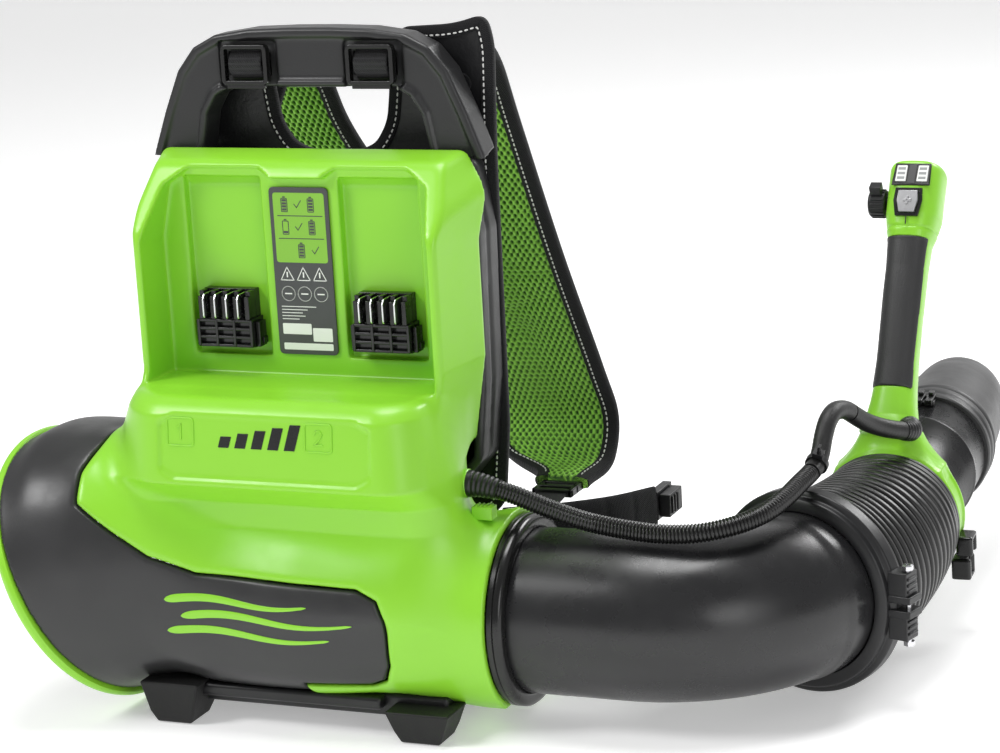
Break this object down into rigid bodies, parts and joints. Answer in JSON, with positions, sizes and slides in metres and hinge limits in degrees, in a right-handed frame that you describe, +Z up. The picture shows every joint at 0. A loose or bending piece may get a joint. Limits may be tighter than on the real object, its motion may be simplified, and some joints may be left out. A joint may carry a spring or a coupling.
{
  "type": "backpack leaf blower",
  "caption": "Backpack leaf blower with a battery tower, axial fan housing, elbow, flexible hose, control handle, nozzle and padded harness.",
  "frame": {"origin": "centre of the underside of the rear rest bar, where the pack stands on the ground", "axes": "+Z up, +Y from the pack towards the wearer and the nozzle, +X to the wearer's right, where the tube leaves"},
  "size_m": [0.6589, 0.8489, 0.5035],
  "materials": {
    "green_abs": "satin lime-green moulded plastic",
    "grey_cowl": "satin dark grey moulded plastic",
    "black_abs": "fine-textured black moulded plastic",
    "black_nylon": "matte black nylon",
    "tube_plastic": "satin blow-moulded black plastic",
    "hose_rubber": "ribbed flexible black rubber",
    "grip_rubber": "soft-touch dark grey rubber",
    "rubber": "black rubber",
    "cord_cover": "black corrugated conduit and smooth sheath",
    "steel": "bright plated steel",
    "silver_button": "silver painted button",
    "copper_winding": "enamelled copper windings",
    "circuit_board": "green circuit board",
    "printed_plate": "printed plate with plain battery symbols",
    "led_lens": "white translucent windows",
    "harness_shell": "stiff black laminated panel with stitched binding",
    "green_mesh": "green spacer mesh with black twill binding and white stitching",
    "black_webbing": "black woven webbing"
  },
  "bodies": {
    "pack": {"housing_shell": "green_abs", "intake_cowl": "grey_cowl", "intake_rim": "green_abs", "intake_grille": "black_abs", "fan_duct": "black_nylon", "motor_stator": "copper_winding", "motor_bearing_front": "steel", "motor_bearing_rear": "steel", "tail_cone": "black_nylon", "base_tray": "black_abs", "rear_rest_bar": "rubber", "terminal_block_1": "black_abs", "terminal_blades_1": "steel", "terminal_block_2": "black_abs", "terminal_blades_2": "steel", "guide_plate": "printed_plate", "control_board": "circuit_board", "back_frame": "black_abs", "carry_handle": "black_abs", "ladder_lock_right": "black_abs", "ladder_lock_left": "black_abs", "harness_panel": "harness_shell", "back_pad": "green_mesh", "shoulder_strap_right": "green_mesh", "shoulder_strap_left": "green_mesh", "waist_belt_right": "black_webbing", "waist_belt_left": "black_webbing", "buckle_socket": "black_nylon", "buckle_tongue": "black_nylon", "outlet_ring": "black_abs", "outlet_seal": "rubber", "elbow": "tube_plastic", "cord_gland": "green_abs", "hose_collar": "black_nylon", "collar_clamp_screw": "steel", "bellows_rear": "hose_rubber", "cord_conduit": "cord_cover", "cord_sheath_rear": "cord_cover", "cable_tie": "black_nylon"},
    "fan": {"rotor_shaft": "steel", "fan_rotor": "black_nylon"},
    "hose_middle": {"bellows_middle": "hose_rubber"},
    "tube": {"bellows_front": "hose_rubber", "front_cuff": "black_nylon", "blower_tube": "tube_plastic", "handle_ring": "green_abs", "ring_clamp": "black_nylon", "nozzle_latch": "black_nylon", "handle_shell_right": "green_abs", "handle_shell_left": "green_abs", "grip_sleeve": "grip_rubber", "trigger_pin": "steel", "trigger_switch": "black_nylon", "led_display": "led_lens", "cord_sheath_front": "cord_cover"},
    "nozzle": {"nozzle": "tube_plastic"},
    "trigger": {"trigger": "black_nylon"},
    "boost": {"boost_button": "silver_button"},
    "cruise": {"cruise_lever": "black_nylon"},
    "release": {"release_button": "green_abs"}
  },
  "joints": [
    {"name": "fan_spin", "type": "hinge", "parent": "pack", "child": "fan", "pos_m": [0, -0.06, 0.082], "axis": [1, 0, 0], "continuous": true},
    {"name": "hose_yaw", "type": "hinge", "parent": "pack", "child": "hose_middle", "pos_m": [0.35044, 0.0843, 0.07994], "axis": [0, 0, 1], "range_deg": [-16, 20], "deforming": ["bellows_rear", "cord_sheath_rear"]},
    {"name": "hose_pitch", "type": "hinge", "parent": "hose_middle", "child": "tube", "pos_m": [0.36157, 0.14154, 0.08718], "axis": [0.9985, 0.0541, 0], "range_deg": [-6, 18], "deforming": ["bellows_front", "cord_sheath_front"]},
    {"name": "nozzle_twist", "type": "hinge", "parent": "tube", "child": "nozzle", "pos_m": [0.35312, 0.34141, 0.10244], "axis": [-0.0539, 0.996, 0.0715], "range_deg": [0, 30]},
    {"name": "trigger_pull", "type": "hinge", "parent": "tube", "child": "trigger", "pos_m": [0.36, 0.27527, 0.27962], "axis": [-1, 0, 0], "range_deg": [0, 10], "stiffness_Nm_per_rad": 0.08, "springref_deg": -14.32},
    {"name": "boost_press", "type": "slide", "parent": "tube", "child": "boost", "axis": [0, 0.8846, -0.4664], "range_m": [0, 0.0022], "stiffness_N_per_m": 250, "springref_m": -0.002},
    {"name": "cruise_turn", "type": "hinge", "parent": "tube", "child": "cruise", "pos_m": [0.336, 0.28992, 0.31598], "axis": [-1, 0, 0], "range_deg": [0, 70]},
    {"name": "release_press", "type": "slide", "parent": "pack", "child": "release", "axis": [0, 0, -1], "range_m": [0, 0.0025], "stiffness_N_per_m": 400, "springref_m": -0.002}
  ]
}
